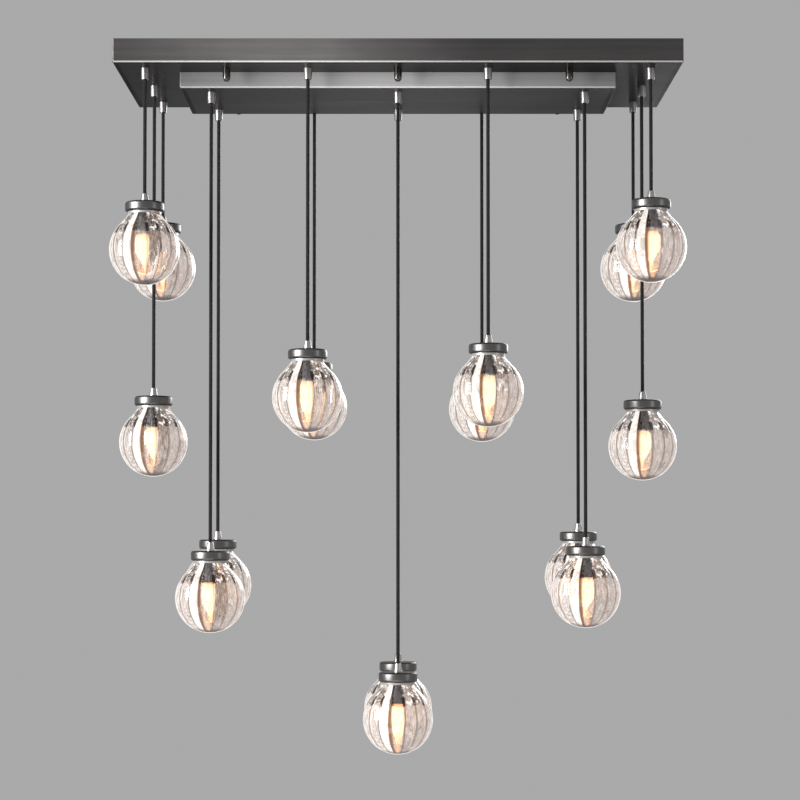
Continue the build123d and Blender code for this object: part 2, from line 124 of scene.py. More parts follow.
class CanopyFinish(bpy.types.PropertyGroup):
    steel: colour("Steel", "Colour of the brushed upper pan", (0.125, 0.119, 0.117))
    # Painted shade: faces that point down take a darker colour.
    underside: colour("Underside", "Colour of the steel that faces down", (0.085, 0.081, 0.081))
    tier_side: colour("Lower side", "Colour of the lower pan's upright sides", (0.30, 0.297, 0.295))
    tier_underside: colour("Lower underside", "Colour of the lower pan's underside", (0.119, 0.114, 0.114))
    # Painted highlight: a stretch along X of each pan whose colour is painted brighter.
    highlight_at: length("Highlight at", "Middle of the patch that is rubbed bright, along the canopy", -0.19)
    highlight_width: length("Highlight width", "Half the width of that patch", 0.36)
    highlight_gain: share("Highlight gain", "How much brighter that patch is", 1.0)
    lower_highlight_at: length("Lower rubbed at", "Middle of the bright patch on the lower pan", -0.01)
    lower_highlight_width: length("Lower rubbed width", "Half the width of the lower pan's patch", 0.45)
    lower_highlight_gain: share("Lower rubbed gain", "How much brighter the lower pan's patch is", 0.66)
    # Painted highlight: the bright colour painted on the bends.
    edge: colour("Edge", "Colour of the steel where its bends are rubbed bright", (0.95, 0.945, 0.94))
    roughness: share("Roughness", "Roughness of the brushed steel", 0.34)
    grain: length("Grain", "Width of one brush line", 0.0011)
    lip: length("Lip", "Height of the rounded edge along the foot of an upright side", 0.0034)


class CordFinish(bpy.types.PropertyGroup):
    diameter: length("Diameter", "Diameter of a covered cord", 0.0065)
    cover: colour("Cover", "Colour of the cord's woven cover", (0.004, 0.0036, 0.004))
    carriers: IntProperty(name="Carriers", description="Strands round the woven cover", default=12, min=4)
    pitch: length("Pitch", "Height of one turn of the weave", 0.009)


class HolderSizes(bpy.types.PropertyGroup):
    grip_height: length("Grip height", "Height of the cone on top of the cap", 0.016)
    grip_top: length("Grip top", "Radius of the cone at its top", 0.0055)
    grip_base: length("Grip base", "Radius of the cone at its base", 0.0075)
    cap_radius: length("Cap radius", "Outer radius of the cap", 0.03525)
    cap_height: length("Cap height", "Height of the cap", 0.018)
    cap_round: length("Cap round", "Radius of the cap's rounded edges", 0.0045)
    gallery_radius: length("Gallery radius", "Outer radius of the ring round the globe's neck", 0.0303)
    gallery_wall: length("Gallery wall", "Wall of that ring", 0.0014)
    gallery_end: length("Gallery end", "How far that ring's lower edge is below the cap's top", 0.022)
    sleeve_radius: length("Sleeve radius", "Outer radius of the lamp socket's sleeve", 0.0115)
    sleeve_end: length("Sleeve end", "How far the sleeve's lower end is below the cap's top", 0.057)
    metal: colour("Metal", "Colour of the polished metal", (0.17, 0.165, 0.16))
    sleeve: colour("Sleeve", "Colour of the satin sleeve", (0.31, 0.32, 0.34))


class GlobeSizes(bpy.types.PropertyGroup):
    diameter: length("Diameter", "Outer diameter of a globe", 0.127)
    ribs: IntProperty(name="Ribs", description="Number of upright ribs", default=16, min=3)
    rib_depth: length("Rib depth", "Depth of the grooves between ribs", 0.0018)
    wall: length("Wall", "Thickness of the glass under a groove", 0.0024)
    neck_radius: length("Neck radius", "Outer radius of the neck", 0.0286)
    neck_top: length("Neck top", "How far the neck's top is below the cap's top", 0.005)
    shoulder: length("Shoulder", "Height above the centre where the shoulder leaves the ball", 0.045)
    tint: colour("Tint", "Colour of the glass", (0.92, 0.89, 0.865))
    # Painted shade in the glass: its grooves, dashes, dark swirls, the dark line and the foot.
    smoke: colour("Smoke", "Colour of the glass in its grooves", (0.045, 0.028, 0.021))
    # Milk, Blush and Glow: the colours and strength of the painted glow of the lit glass.
    milk: colour("Milk", "Colour of the lit glass where it is brightest", (1.0, 0.935, 0.865))
    blush: colour("Blush", "Colour of the lit glass where it is faint", (0.50, 0.275, 0.195))
    glow: FloatProperty(name="Glow", description="Strength of the lit glass", default=1.15, min=0.0)


class BulbSizes(bpy.types.PropertyGroup):
    radius: length("Radius", "Radius of the bulb's glass", 0.0127)
    neck_radius: length("Neck radius", "Radius of the bulb where it goes into the sleeve", 0.0088)
    length: length("Length", "Length of the bulb below the sleeve", 0.074)
    core_radius: length("Core radius", "Radius of the glowing core", 0.0070)
    amber: colour("Amber", "Colour of the bulb's glass", (1.0, 0.93, 0.85))
    glow: colour("Glow", "Colour of the glowing core's middle", (1.0, 0.92, 0.70))
    ember: colour("Ember", "Colour of the glowing core's ends and of the lit glass", (1.0, 0.47, 0.22))


class StudioSettings(bpy.types.PropertyGroup):
    lens: FloatProperty(name="Lens", description="Focal length of the camera in millimetres", default=100.64)
    camera_x: length("Camera X", "Place of the camera along the canopy", 0.0037)
    camera_y: length("Camera Y", "Place of the camera in front of the canopy", -4.1561)
    camera_z: length("Camera Z", "Height of the camera", -0.9015)
    pitch: FloatProperty(name="Pitch", description="How far it looks up", default=0.02934, subtype="ANGLE")
    shift: FloatProperty(name="Shift", description="Upward shift of the lens, in sensor widths", default=0.1)
    floor_drop: length("Floor drop", "Height of the ceiling above the floor", 2.6)
    backdrop: colour("Backdrop", "Colour of the pale background", (0.40, 0.40, 0.405))


SETTINGS = {
    "chandelier_canopy": CanopyFinish,
    "chandelier_cords": CordFinish,
    "chandelier_holders": HolderSizes,
    "chandelier_globes": GlobeSizes,
    "chandelier_bulbs": BulbSizes,
    "chandelier_studio": StudioSettings,
}


def feed(tree, socket, value):
    """Sets a socket to a value, or links it to another node's output."""
    if isinstance(value, bpy.types.NodeSocket):
        tree.links.new(value, socket)
    else:
        socket.default_value = value


def place(tree, kind, inputs=None, **settings):
    """Adds a shader node with its settings, and feeds its inputs."""
    made = tree.nodes.new("ShaderNode" + kind)
    for key, value in settings.items():
        setattr(made, key, value)
    for key, value in (inputs or {}).items():
        feed(tree, made.inputs[key], value)
    return made


def maths(tree, operation, *values):
    return place(tree, "Math", dict(enumerate(values)), operation=operation).outputs[0]


def product(tree, *values):
    return reduce(lambda first, second: maths(tree, "MULTIPLY", first, second), values)


def total(tree, *values):
    return reduce(lambda first, second: maths(tree, "ADD", first, second), values)


def spread(tree, value, base, gain):
    """A base, and a gain times the value on top."""
    return total(tree, base, product(tree, value, gain))


def largest(tree, *values):
    return reduce(lambda first, second: maths(tree, "MAXIMUM", first, second), values)


def without(tree, mask, amount=1.0):
    """One less a mask, or less an amount of it."""
    return maths(tree, "SUBTRACT", 1.0, mask if amount == 1.0 else product(tree, mask, amount))


def axes(tree, vector):
    """The three parts of a vector, as sockets."""
    return place(tree, "SeparateXYZ", {0: vector}).outputs


def facing(tree):
    """The three parts of the surface's normal."""
    return axes(tree, place(tree, "NewGeometry").outputs["Normal"])


def scaled(tree, vector, scale):
    return place(tree, "VectorMath", {0: vector, 1: scale}, operation="MULTIPLY").outputs[0]


def turns(tree, across):
    """The angle round Z, in turns."""
    return maths(tree, "DIVIDE", maths(tree, "ARCTAN2", across[1], across[0]), FULL_TURN)


def shaded(tree, base, shade):
    """A colour made lighter or darker by a number."""
    grey = place(tree, "CombineColor", {0: shade, 1: shade, 2: shade}).outputs[0]
    return blend_colours(tree, 1.0, base, grey, "MULTIPLY")


def dimmed(tone, amount):
    """A plain colour made lighter or darker by a number."""
    return [part * amount for part in tone]


def ramp(tree, value, low, high, bottom=0.0, top=1.0):
    """A smooth step: bottom where the value is at low, top where it is at high."""
    inputs = {"Value": value, "From Min": low, "From Max": high, "To Min": bottom, "To Max": top}
    return place(tree, "MapRange", inputs, interpolation_type="SMOOTHSTEP").outputs[0]


def blend_colours(tree, factor, first, second, mode="MIX"):
    """Mixes two colours, given as sockets or as three numbers."""
    made = place(tree, "Mix", data_type="RGBA", blend_type=mode)
    feed(tree, made.inputs["Factor"], factor)
    for name, value in (("A", first), ("B", second)):
        socket = next(s for s in made.inputs if s.name == name and s.type == "RGBA")
        feed(tree, socket, value if isinstance(value, bpy.types.NodeSocket) else (*value, 1.0))
    return next(s for s in made.outputs if s.type == "RGBA")


def noise(tree, vector, scale, detail=3.0, roughness=0.5):
    inputs = {"Vector": vector, "Scale": scale, "Detail": detail, "Roughness": roughness}
    return place(tree, "TexNoise", inputs).outputs[0]


def new_group(name, inputs, outputs):
    """A node group with named inputs (label, socket kind, default) and outputs (label, socket kind)."""
    tree = bpy.data.node_groups.new(name, "ShaderNodeTree")
    for label, kind, default in inputs:
        socket = tree.interface.new_socket(label, in_out="INPUT", socket_type="NodeSocket" + kind)
        if default is not None:
            socket.default_value = default
    for label, kind in outputs:
        tree.interface.new_socket(label, in_out="OUTPUT", socket_type="NodeSocket" + kind)
    return tree, tree.nodes.new("NodeGroupInput").outputs, tree.nodes.new("NodeGroupOutput").inputs


def group(tree, name, inputs=None):
    """Places a node group in a material."""
    made = tree.nodes.new("ShaderNodeGroup")
    made.node_tree = bpy.data.node_groups[name]
    for key, value in (inputs or {}).items():
        feed(tree, made.inputs[key], value)
    return made.outputs


def make_brushed_group():
    """Long brush lines: a stretched noise, once fine and once broad."""
    tree, given, out = new_group(
        "Brushed lines",
        [("Vector", "Vector", None), ("Stretch", "Vector", (0.02, 1.0, 1.0)), ("Lines", "Float", 900.0)],
        [("Grain", "Float"), ("Bands", "Float")],
    )
    bands_per_line = 0.09
    pulled = scaled(tree, given["Vector"], given["Stretch"])
    feed(tree, out["Grain"], noise(tree, pulled, given["Lines"], 4.0, 0.65))
    feed(tree, out["Bands"], noise(tree, pulled, product(tree, given["Lines"], bands_per_line), 3.0, 0.6))


def make_smudge_group():
    """Faint handling marks and dust, as a slow uneven mask."""
    inputs = [("Vector", "Vector", None), ("Scale", "Float", 20.0)]
    tree, given, out = new_group("Smudges", inputs, [("Mask", "Float")])
    cloud = noise(tree, given["Vector"], given["Scale"], 5.0, 0.6)
    feed(tree, out["Mask"], ramp(tree, cloud, 0.42, 0.68))


def make_turned_group():
    """Fine rings that a lathe leaves: noise that changes only with radius and height."""
    inputs = [("Vector", "Vector", None), ("Lines", "Float", 1500.0)]
    tree, given, out = new_group("Turned rings", inputs, [("Rings", "Float")])
    across = axes(tree, given["Vector"])
    squares = total(tree, maths(tree, "POWER", across[0], 2.0), maths(tree, "POWER", across[1], 2.0))
    radius = maths(tree, "SQRT", squares)
    where = place(tree, "CombineXYZ", {0: radius, 1: 0.0, 2: across[2]}).outputs[0]
    feed(tree, out["Rings"], noise(tree, where, given["Lines"], 3.0, 0.6))


def make_braid_group():
    """A woven cover: strands that wind both ways round an upright cord."""
    tree, given, out = new_group(
        "Woven cover",
        [("Vector", "Vector", None), ("Carriers", "Float", 12.0), ("Pitch", "Float", 0.009)],
        [("Height", "Float")],
    )
    across = axes(tree, given["Vector"])
    turn = turns(tree, across)
    climb = maths(tree, "DIVIDE", across[2], given["Pitch"])
    waves = []
    for way in ("ADD", "SUBTRACT"):
        phase = product(tree, maths(tree, way, turn, climb), given["Carriers"])
        waves.append(maths(tree, "SINE", product(tree, phase, FULL_TURN)))
    feed(tree, out["Height"], largest(tree, *waves))


def make_rib_light_group():
    """How a lit ribbed globe looks, given in its glass's own coordinates: painted light and painted shade.

    Below the level of the bulb's top the glass has a painted milky glow, with a painted bright rib, a painted
    dark line beside it, painted shade in the grooves and a painted orange glow of the bulb near the foot. Above
    that level it is clear, with painted pale swirls, painted dark swirls and short painted dark dashes. A
    painted dark band runs round the foot. Lengths are in metres.
    """
    tree, given, out = new_group(
        "Rib light",
        [
            ("Vector", "Vector", None),
            ("Ribs", "Float", 16.0),
            ("Level", "Float", -0.057),
            ("Foot", "Float", -0.149),
            ("Bright Rib", "Float", 5.02),
            ("Milk", "Color", None),
            ("Blush", "Color", None),
            ("Ember", "Color", None),
            ("Tint", "Color", None),
            ("Smoke", "Color", None),
        ],
        [("Light", "Color"), ("Tint", "Color")],
    )
    # Places in ribs, counted from the bright rib
    dark_line, bulb_front, pale_middle = 0.40, 1.02, -1.6
    # Heights and blurs
    level_wave, level_blur = 0.010, 0.0025
    bulb_glow_start, bulb_glow_end = 0.004, 0.034
    dash_low, dash_start, dash_end = 0.002, 0.014, 0.017
    across = axes(tree, given["Vector"])
    height = across[2]
    rib = product(tree, turns(tree, across), given["Ribs"])
    crest = maths(tree, "COSINE", product(tree, rib, FULL_TURN))
    groove = ramp(tree, crest, -0.70, -0.985)

    def beside(ribs, low, high):
        """A soft upright band, so many ribs from the bright one, on both opposite sides of the globe."""
        along = total(tree, rib, given["Bright Rib"], -ribs)
        around = maths(tree, "DIVIDE", product(tree, along, 2 * FULL_TURN), given["Ribs"])
        return ramp(tree, maths(tree, "COSINE", around), low, high)

    def stretched(scale, size, detail, roughness):
        return noise(tree, scaled(tree, given["Vector"], scale), size, detail, roughness)

    def above(start, by):
        """A height so much over another."""
        return total(tree, start, by)

    streak = stretched((1.0, 1.0, 0.16), 260.0, 3.0, 0.6)
    thread = stretched((1.0, 1.0, 0.10), 620.0, 2.0, 0.6)
    pebble = stretched((0.6, 0.6, 1.7), 640.0, 3.0, 0.7)
    swirl = stretched((1.0, 1.0, 0.45), 120.0, 4.0, 0.75)
    cloud = noise(tree, given["Vector"], scale=45.0, detail=2.0)

    level = total(tree, given["Level"], product(tree, maths(tree, "SUBTRACT", cloud, 0.5), level_wave))
    lit = ramp(tree, height, above(level, level_blur), above(level, -level_blur))
    unlit = without(tree, lit)
    foot = ramp(tree, height, above(given["Foot"], 0.0015), above(given["Foot"], 0.012))
    # A thin dark line beside the bright rib, tinted ember: painted shade.
    dark = beside(dark_line, 0.991, 0.999)

    # The painted milky glow below the level, made of streaks, pebbles and threads; one side is painted lighter,
    # and the grooves dimmer.
    pale_side = beside(pale_middle, -1.0, 1.0)
    veil = ramp(tree, streak, 0.34, 0.70, bottom=0.46, top=0.76)
    milk = total(tree, veil, ramp(tree, pebble, 0.30, 0.72, bottom=-0.10, top=0.13))
    milk = product(tree, milk, spread(tree, pale_side, base=0.56, gain=0.34))
    strands = ramp(tree, thread, 0.36, 0.58, bottom=0.62, top=1.12)
    milk = product(tree, milk, strands, without(tree, groove, 0.55), lit)
    # Painted pale swirls above the level: painted highlights, kept off the band in front of the bulb.
    swirls = product(tree, ramp(tree, swirl, 0.51, 0.58, bottom=0.08, top=0.80), unlit)
    swirls = product(tree, swirls, without(tree, beside(bulb_front, 0.90, 0.96), 0.9))
    # The bright rib: a painted highlight.
    bright = ramp(tree, streak, 0.30, 0.62, bottom=0.55, top=0.82)
    bright = product(tree, beside(0.0, 0.905, 0.972), bright)
    glow = largest(tree, total(tree, milk, swirls), bright)
    glow = total(tree, product(tree, glow, without(tree, dark)), product(tree, dark, lit, 0.2))
    # Near the foot the painted glow fades into a painted dark band.
    glow = product(tree, glow, spread(tree, foot, base=0.15, gain=0.85))
    hue = blend_colours(tree, ramp(tree, glow, 0.0, 0.75), given["Blush"], given["Milk"])

    # A painted orange glow of the bulb, in a band in front of it near the foot.
    bulb_glow_foot = above(given["Foot"], bulb_glow_start)
    bulb_glow_top = above(given["Foot"], bulb_glow_end)
    bulb_glow = ramp(tree, height, bulb_glow_foot, above(bulb_glow_foot, 0.003))
    bulb_glow = product(tree, bulb_glow, ramp(tree, height, bulb_glow_top, above(bulb_glow_top, -0.018)))
    bulb_glow = product(tree, bulb_glow, beside(bulb_front, 0.965, 0.998))
    hue = blend_colours(tree, largest(tree, bulb_glow, dark), hue, given["Ember"])
    glow = largest(tree, glow, product(tree, bulb_glow, 0.7))

    # Short dark dashes just above the level: painted shade.
    dash = product(tree, ramp(tree, height, above(level, -dash_low), level), ramp(tree, streak, 0.38, 0.42))
    dash = product(tree, dash, ramp(tree, height, above(level, dash_end), above(level, dash_start)))
    dash = product(tree, dash, ramp(tree, crest, -0.3, -0.75))
    glow = product(tree, glow, without(tree, dash))
    feed(tree, out["Light"], blend_colours(tree, glow, BLACK, hue))

    # Painted shade: dashes, the dark line, grooves, dark swirls and a dark band round the foot.
    shaded_swirls = product(tree, ramp(tree, swirl, 0.46, 0.38, top=0.55), unlit)
    shade = largest(tree, dash, dark, product(tree, groove, 0.4), shaded_swirls)
    shade = largest(tree, shade, product(tree, without(tree, foot), 0.8))
    feed(tree, out["Tint"], blend_colours(tree, shade, given["Tint"], given["Smoke"]))


def new_material(name):
    """A material with one Principled shader, and its local coordinates."""
    made = bpy.data.materials.new(name)
    made.use_nodes = True
    tree = made.node_tree
    here = place(tree, "TexCoord").outputs["Object"]
    return made, tree, tree.nodes["Principled BSDF"].inputs, here


def bump(tree, height, depth, strength=1.0, normal=None):
    inputs = {"Height": height, "Distance": depth, "Strength": strength}
    if normal is not None:
        inputs["Normal"] = normal
    return place(tree, "Bump", inputs).outputs["Normal"]


def make_canopy_metal(name, finish, low, high, side, underside, patch):
    """Brushed dark steel with lines along X. A rounded edge starts at the foot of the upright sides; it and the
    bends carry a painted highlight. Faces that point down take a darker colour, a painted shade, with more
    along the underside's rim.

    low and high are the pan's corners. patch is the middle, half width and gain of a stretch along X that is
    painted brighter: a painted highlight.
    """
    made, tree, shader, here = new_material(name)
    brush = {"Vector": here, "Lines": 1 / finish.grain, "Stretch": (0.012, 1.0, 1.0)}
    lines = group(tree, "Brushed lines", brush)
    smudge = group(tree, "Smudges", {"Vector": here, "Scale": 5.0})["Mask"]
    across = axes(tree, here)
    height = across[2]
    normal = facing(tree)
    facing_up = normal[2]
    upright = maths(tree, "ABSOLUTE", facing_up)

    base = blend_colours(tree, ramp(tree, upright, 0.05, 0.3), side[:], finish.steel[:])
    # Faces that point down take the underside colour: painted shade.
    base = blend_colours(tree, ramp(tree, facing_up, -0.7, -0.95), base, underside[:])
    middle, half, gain = patch
    # A stretch along X painted brighter: a painted highlight.
    painted = ramp(tree, maths(tree, "ABSOLUTE", maths(tree, "SUBTRACT", across[0], middle)), half, 0.0)
    # A painted shade along the underside, just inside its outer edges.
    rim_shade_start, rim_shade_end = 0.012, 0.007
    rim_shades = []
    for i in (0, 1):
        distance = maths(tree, "ABSOLUTE", across[i])
        rim_shades.append(ramp(tree, distance, high[i] - rim_shade_start, high[i] - rim_shade_end))
    rim_shade = product(tree, largest(tree, *rim_shades), ramp(tree, facing_up, -0.9, -0.97))
    shade = spread(tree, lines["Bands"], base=0.72, gain=0.56)
    shade = product(tree, shade, spread(tree, lines["Grain"], base=0.9, gain=0.2))
    patch_light = spread(tree, painted, base=0.8, gain=1.35 * gain)
    shade = product(tree, shade, patch_light, without(tree, rim_shade, 0.7))

    # The bends, and the lip at the foot of the upright sides, are painted bright except at the pan's ends: a
    # painted highlight, brighter in the painted patch.
    foot, lip_height = low.z, finish.lip
    lip = ramp(tree, height, foot + lip_height, foot + lip_height * 0.7)
    lip = product(tree, lip, ramp(tree, upright, 0.9, 0.7))
    bend_highlight = product(tree, ramp(tree, facing_up, -0.06, -0.35), ramp(tree, facing_up, -0.985, -0.86))
    sideways = maths(tree, "ABSOLUTE", normal[0])
    bend_highlight = product(tree, largest(tree, lip, bend_highlight), ramp(tree, sideways, 0.5, 0.2))
    edge_highlight = blend_colours(tree, painted, dimmed(finish.edge, 0.62), finish.edge[:])
    feed(tree, shader["Base Color"], blend_colours(tree, bend_highlight, shaded(tree, base, shade), edge_highlight))

    marks = total(tree, product(tree, lines["Grain"], 0.12), product(tree, smudge, 0.05))
    rough = total(tree, finish.roughness - 0.06, marks)
    feed(tree, shader["Roughness"], product(tree, rough, without(tree, bend_highlight, 0.35)))
    # Less metallic on the painted bend highlight, so its pale colour shows under the lamps, and on a pale pan's
    # upright sides.
    pale = side[0] > finish.steel[0]
    soft = largest(tree, ramp(tree, upright, 0.3, 0.05), bend_highlight) if pale else bend_highlight
    feed(tree, shader["Metallic"], without(tree, soft, 0.8))
    shader["Specular Tint"].default_value = (0.5, 0.5, 0.5, 1.0)
    shader["Anisotropic"].default_value = 0.5
    rise = maths(tree, "MAXIMUM", maths(tree, "SUBTRACT", foot + lip_height, height), 0.0)
    rolled = bump(tree, maths(tree, "DIVIDE", product(tree, rise, rise), -1.6 * lip_height), depth=1.0)
    feed(tree, shader["Normal"], bump(tree, lines["Grain"], depth=0.00005, normal=rolled))
    return made


def make_turned_metal(name, tone, roughness, painted_shade=0.0, metallic=1.0):
    """Metal turned on a lathe: fine rings and a few handling marks. Its flat faces and their rounds may get a
    painted shade.
    """
    made, tree, shader, here = new_material(name)
    ring = group(tree, "Turned rings", {"Vector": here})["Rings"]
    smudge = group(tree, "Smudges", {"Vector": here, "Scale": 60.0})["Mask"]
    shade = spread(tree, ring, base=0.86, gain=0.28)
    # Faces that point up or down are painted darker: painted shade.
    if painted_shade:
        upright = maths(tree, "ABSOLUTE", facing(tree)[2])
        shade = product(tree, shade, ramp(tree, upright, 0.25, 0.75, bottom=1.0, top=1.0 - painted_shade))
    feed(tree, shader["Base Color"], shaded(tree, tone[:], shade))
    rough = total(tree, roughness, product(tree, ring, 0.08), product(tree, smudge, 0.06))
    feed(tree, shader["Roughness"], rough)
    shader["Metallic"].default_value = metallic
    feed(tree, shader["Normal"], bump(tree, ring, depth=0.00002))
    return made


def make_zinc(name, tone):
    """Plain plated steel of the parts inside the canopy."""
    made, tree, shader, here = new_material(name)
    cloud = group(tree, "Smudges", {"Vector": here, "Scale": 90.0})["Mask"]
    feed(tree, shader["Base Color"], blend_colours(tree, cloud, tone, dimmed(tone, 0.75)))
    feed(tree, shader["Roughness"], spread(tree, cloud, base=0.32, gain=0.2))
    shader["Metallic"].default_value = 1.0
    return made


def make_moulded(name, tone):
    """Matt moulded insulator with a fine eggshell surface."""
    made, tree, shader, here = new_material(name)
    grain = noise(tree, here, scale=1200.0)
    feed(tree, shader["Base Color"], blend_colours(tree, grain, tone, dimmed(tone, 0.9)))
    shader["Roughness"].default_value = 0.55
    feed(tree, shader["Normal"], bump(tree, grain, depth=0.00004))
    return made


def make_cord_cover(finish):
    """Black woven cover with a faint sheen along its strands: the shader's own, and a painted sheen on their
    crests.
    """
    made, tree, shader, here = new_material("cord_cover")
    inputs = {"Vector": here, "Carriers": float(finish.carriers), "Pitch": finish.pitch}
    weave = group(tree, "Woven cover", inputs)["Height"]
    fuzz = noise(tree, here, scale=2500.0, detail=2.0)
    # The strands' crests are painted lighter: a painted sheen.
    lift = product(tree, ramp(tree, weave, 0.2, 1.0), total(tree, 0.5, fuzz))
    feed(tree, shader["Base Color"], blend_colours(tree, lift, finish.cover[:], dimmed(finish.cover, 3.2)))
    feed(tree, shader["Roughness"], spread(tree, fuzz, base=0.42, gain=0.2))
    feed(tree, shader["Normal"], bump(tree, weave, depth=0.00018))
    shader["Specular IOR Level"].default_value = 0.3
    shader["Sheen Weight"].default_value = 0.03
    return made


def as_glass(shader, index, roughness):
    shader["Roughness"].default_value = roughness
    shader["IOR"].default_value = index
    shader["Transmission Weight"].default_value = 1.0


def make_rib_glass(sizes, level, foot, ember):
    """Ribbed glass with a painted milky glow for the bulb's light below the level of its top, and a painted
    bright rim. The glow shows from outside only.
    """
    made, tree, shader, here = new_material("ribbed_glass")
    inputs = {"Vector": here, "Ribs": float(sizes.ribs), "Level": level, "Foot": foot, "Ember": (*ember, 1.0)}
    for name in ("Milk", "Blush", "Tint", "Smoke"):
        inputs[name] = (*getattr(sizes, name.lower()), 1.0)
    look = group(tree, "Rib light", inputs)
    as_glass(shader, GLASS_INDEX, roughness=0.02)
    # The glass's own tint, with the painted shade of grooves, dashes, dark swirls, dark line and foot.
    feed(tree, shader["Base Color"], look["Tint"])
    # A painted bright rim where the glass is seen edge-on: a painted highlight.
    grazing = place(tree, "LayerWeight", {"Blend": 0.5}).outputs["Facing"]
    rim = ramp(tree, grazing, 0.74, 0.93, top=0.8)
    light = blend_colours(tree, rim, look["Light"], sizes.milk[:])
    inside = place(tree, "NewGeometry").outputs["Backfacing"]
    feed(tree, shader["Emission Color"], blend_colours(tree, inside, light, BLACK))
    shader["Emission Strength"].default_value = sizes.glow
    wave = noise(tree, here, scale=90.0)
    feed(tree, shader["Normal"], bump(tree, wave, depth=0.0004, strength=0.5))
    made.cycles.emission_sampling = "NONE"
    return made


def make_clear_glass(sizes):
    """The smooth inner face of a globe, with the faint waves of pressed glass."""
    made, tree, shader, here = new_material("clear_glass")
    wave = noise(tree, here, scale=55.0, detail=2.0)
    feed(tree, shader["Base Color"], blend_colours(tree, wave, sizes.tint[:], dimmed(sizes.tint, 0.97)))
    as_glass(shader, GLASS_INDEX, roughness=0.02)
    feed(tree, shader["Normal"], bump(tree, wave, depth=0.0005, strength=0.5))
    return made


def make_bulb_glass(sizes):
    """The bulb's thin glass, warmed to amber by the light in it."""
    made, tree, shader, here = new_material("bulb_glass")
    streak = noise(tree, here, scale=60.0, detail=2.0)
    warm = blend_colours(tree, ramp(tree, streak, 0.3, 0.7), sizes.ember[:], dimmed(sizes.ember, 0.6))
    shader["Base Color"].default_value = (*sizes.amber, 1.0)
    as_glass(shader, THIN_GLASS_INDEX, roughness=0.04)
    feed(tree, shader["Emission Color"], warm)
    shader["Emission Strength"].default_value = BULB_GLASS_STRENGTH
    made.cycles.emission_sampling = "NONE"
    return made


def make_core_glow(sizes, top, bottom):
    """The glowing core: nearly white in its middle, orange towards both ends and in fine upright threads."""
    made, tree, shader, here = new_material("glowing_core")
    height = axes(tree, here)[2]
    span = top - bottom
    middle = ramp(tree, height, bottom + 0.02 * span, bottom + 0.5 * span)
    middle = product(tree, middle, ramp(tree, height, top, top - 0.22 * span))
    threads = noise(tree, scaled(tree, here, (1.0, 1.0, 0.08)), scale=420.0, detail=2.0)
    middle = product(tree, middle, ramp(tree, threads, 0.30, 0.62, bottom=0.72, top=1.1))
    feed(tree, shader["Emission Color"], blend_colours(tree, middle, sizes.ember[:], sizes.glow[:]))
    shader["Emission Strength"].default_value = CORE_STRENGTH
    shader["Base Color"].default_value = (*sizes.glow, 1.0)
    shader["Roughness"].default_value = 0.6
    made.cycles.emission_sampling = "NONE"
    return made


def rounded(points, radii, steps=6):
    """An outline with each corner that has a radius turned into an arc. The ends stay as they are."""
    outline = [Vector(points[0])]
    for before, corner, after, radius in zip(points, points[1:], points[2:], radii):
        corner = Vector(corner)
        if not radius:
            outline.append(corner)
            continue
        back = (Vector(before) - corner).normalized()
        ahead = (Vector(after) - corner).normalized()
        half = back.angle(ahead) / 2
        middle = corner + (back + ahead).normalized() * radius / math.sin(half)
        first = corner + back * radius / math.tan(half) - middle
        last = corner + ahead * radius / math.tan(half) - middle
        for i in range(steps + 1):
            outline.append(middle + first.slerp(last, i / steps) * radius)
    outline.append(Vector(points[-1]))
    return outline


def spin(bm, outline, sides, slot=0, wave=None):
    """Spins an open outline of (radius, height) points about Z. wave may change a radius with the angle."""
    rings = []
    for radius, height in outline:
        if radius < ON_AXIS:
            rings.append([bm.verts.new((0.0, 0.0, height))])
            continue
        ring = []
        for i in range(sides):
            angle = FULL_TURN * i / sides
            reach = wave(radius, height, angle) if wave else radius
            ring.append(bm.verts.new((reach * math.cos(angle), reach * math.sin(angle), height)))
        rings.append(ring)
    for lower, upper in zip(rings, rings[1:]):
        for i in range(sides):
            j = (i + 1) % sides
            corners = [lower[i % len(lower)], lower[j % len(lower)]]
            corners += [upper[j % len(upper)], upper[i % len(upper)]]
            corners = list(dict.fromkeys(corners))
            if len(corners) > 2:
                bm.faces.new(corners).material_index = slot


def finished_mesh(name, bm, materials, sharp=35.0):
    """A smooth-shaded mesh with its normals outwards and its hard edges kept."""
    bmesh.ops.recalc_face_normals(bm, faces=bm.faces)
    mesh = bpy.data.meshes.new(name)
    bm.to_mesh(mesh)
    bm.free()
    for material in materials:
        mesh.materials.append(material)
    mesh.shade_smooth()
    mesh.set_sharp_from_angle(angle=math.radians(sharp))
    return mesh


def hang(name, data, lamp):
    """Puts a lamp's piece under its cord, and makes it ride on the lamp's body."""
    piece = bpy.data.objects.new(name, data)
    bpy.context.scene.collection.objects.link(piece)
    piece.location = cap_top(lamp)
    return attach(piece, "lamp_" + lamp)


def cap_top(lamp):
    """The middle of the top of a lamp's cap."""
    low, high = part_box("lampholder_" + lamp)
    sizes = bpy.context.scene.chandelier_holders
    return Vector(((low.x + high.x) / 2, (low.y + high.y) / 2, high.z - sizes.grip_height))


def dress(node, material):
    """Gives a CAD node one finish all over."""
    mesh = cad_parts[node].data
    mesh.materials.clear()
    mesh.materials.append(material)


class CHANDELIER_OT_effects(bpy.types.Operator):
    """Make the shader effects that several finishes share"""
    bl_idname = "chandelier.effects"
    bl_label = "Shared Effects"

    def execute(self, context):
        make_brushed_group()
        make_smudge_group()
        make_turned_group()
        make_braid_group()
        make_rib_light_group()
        return {"FINISHED"}


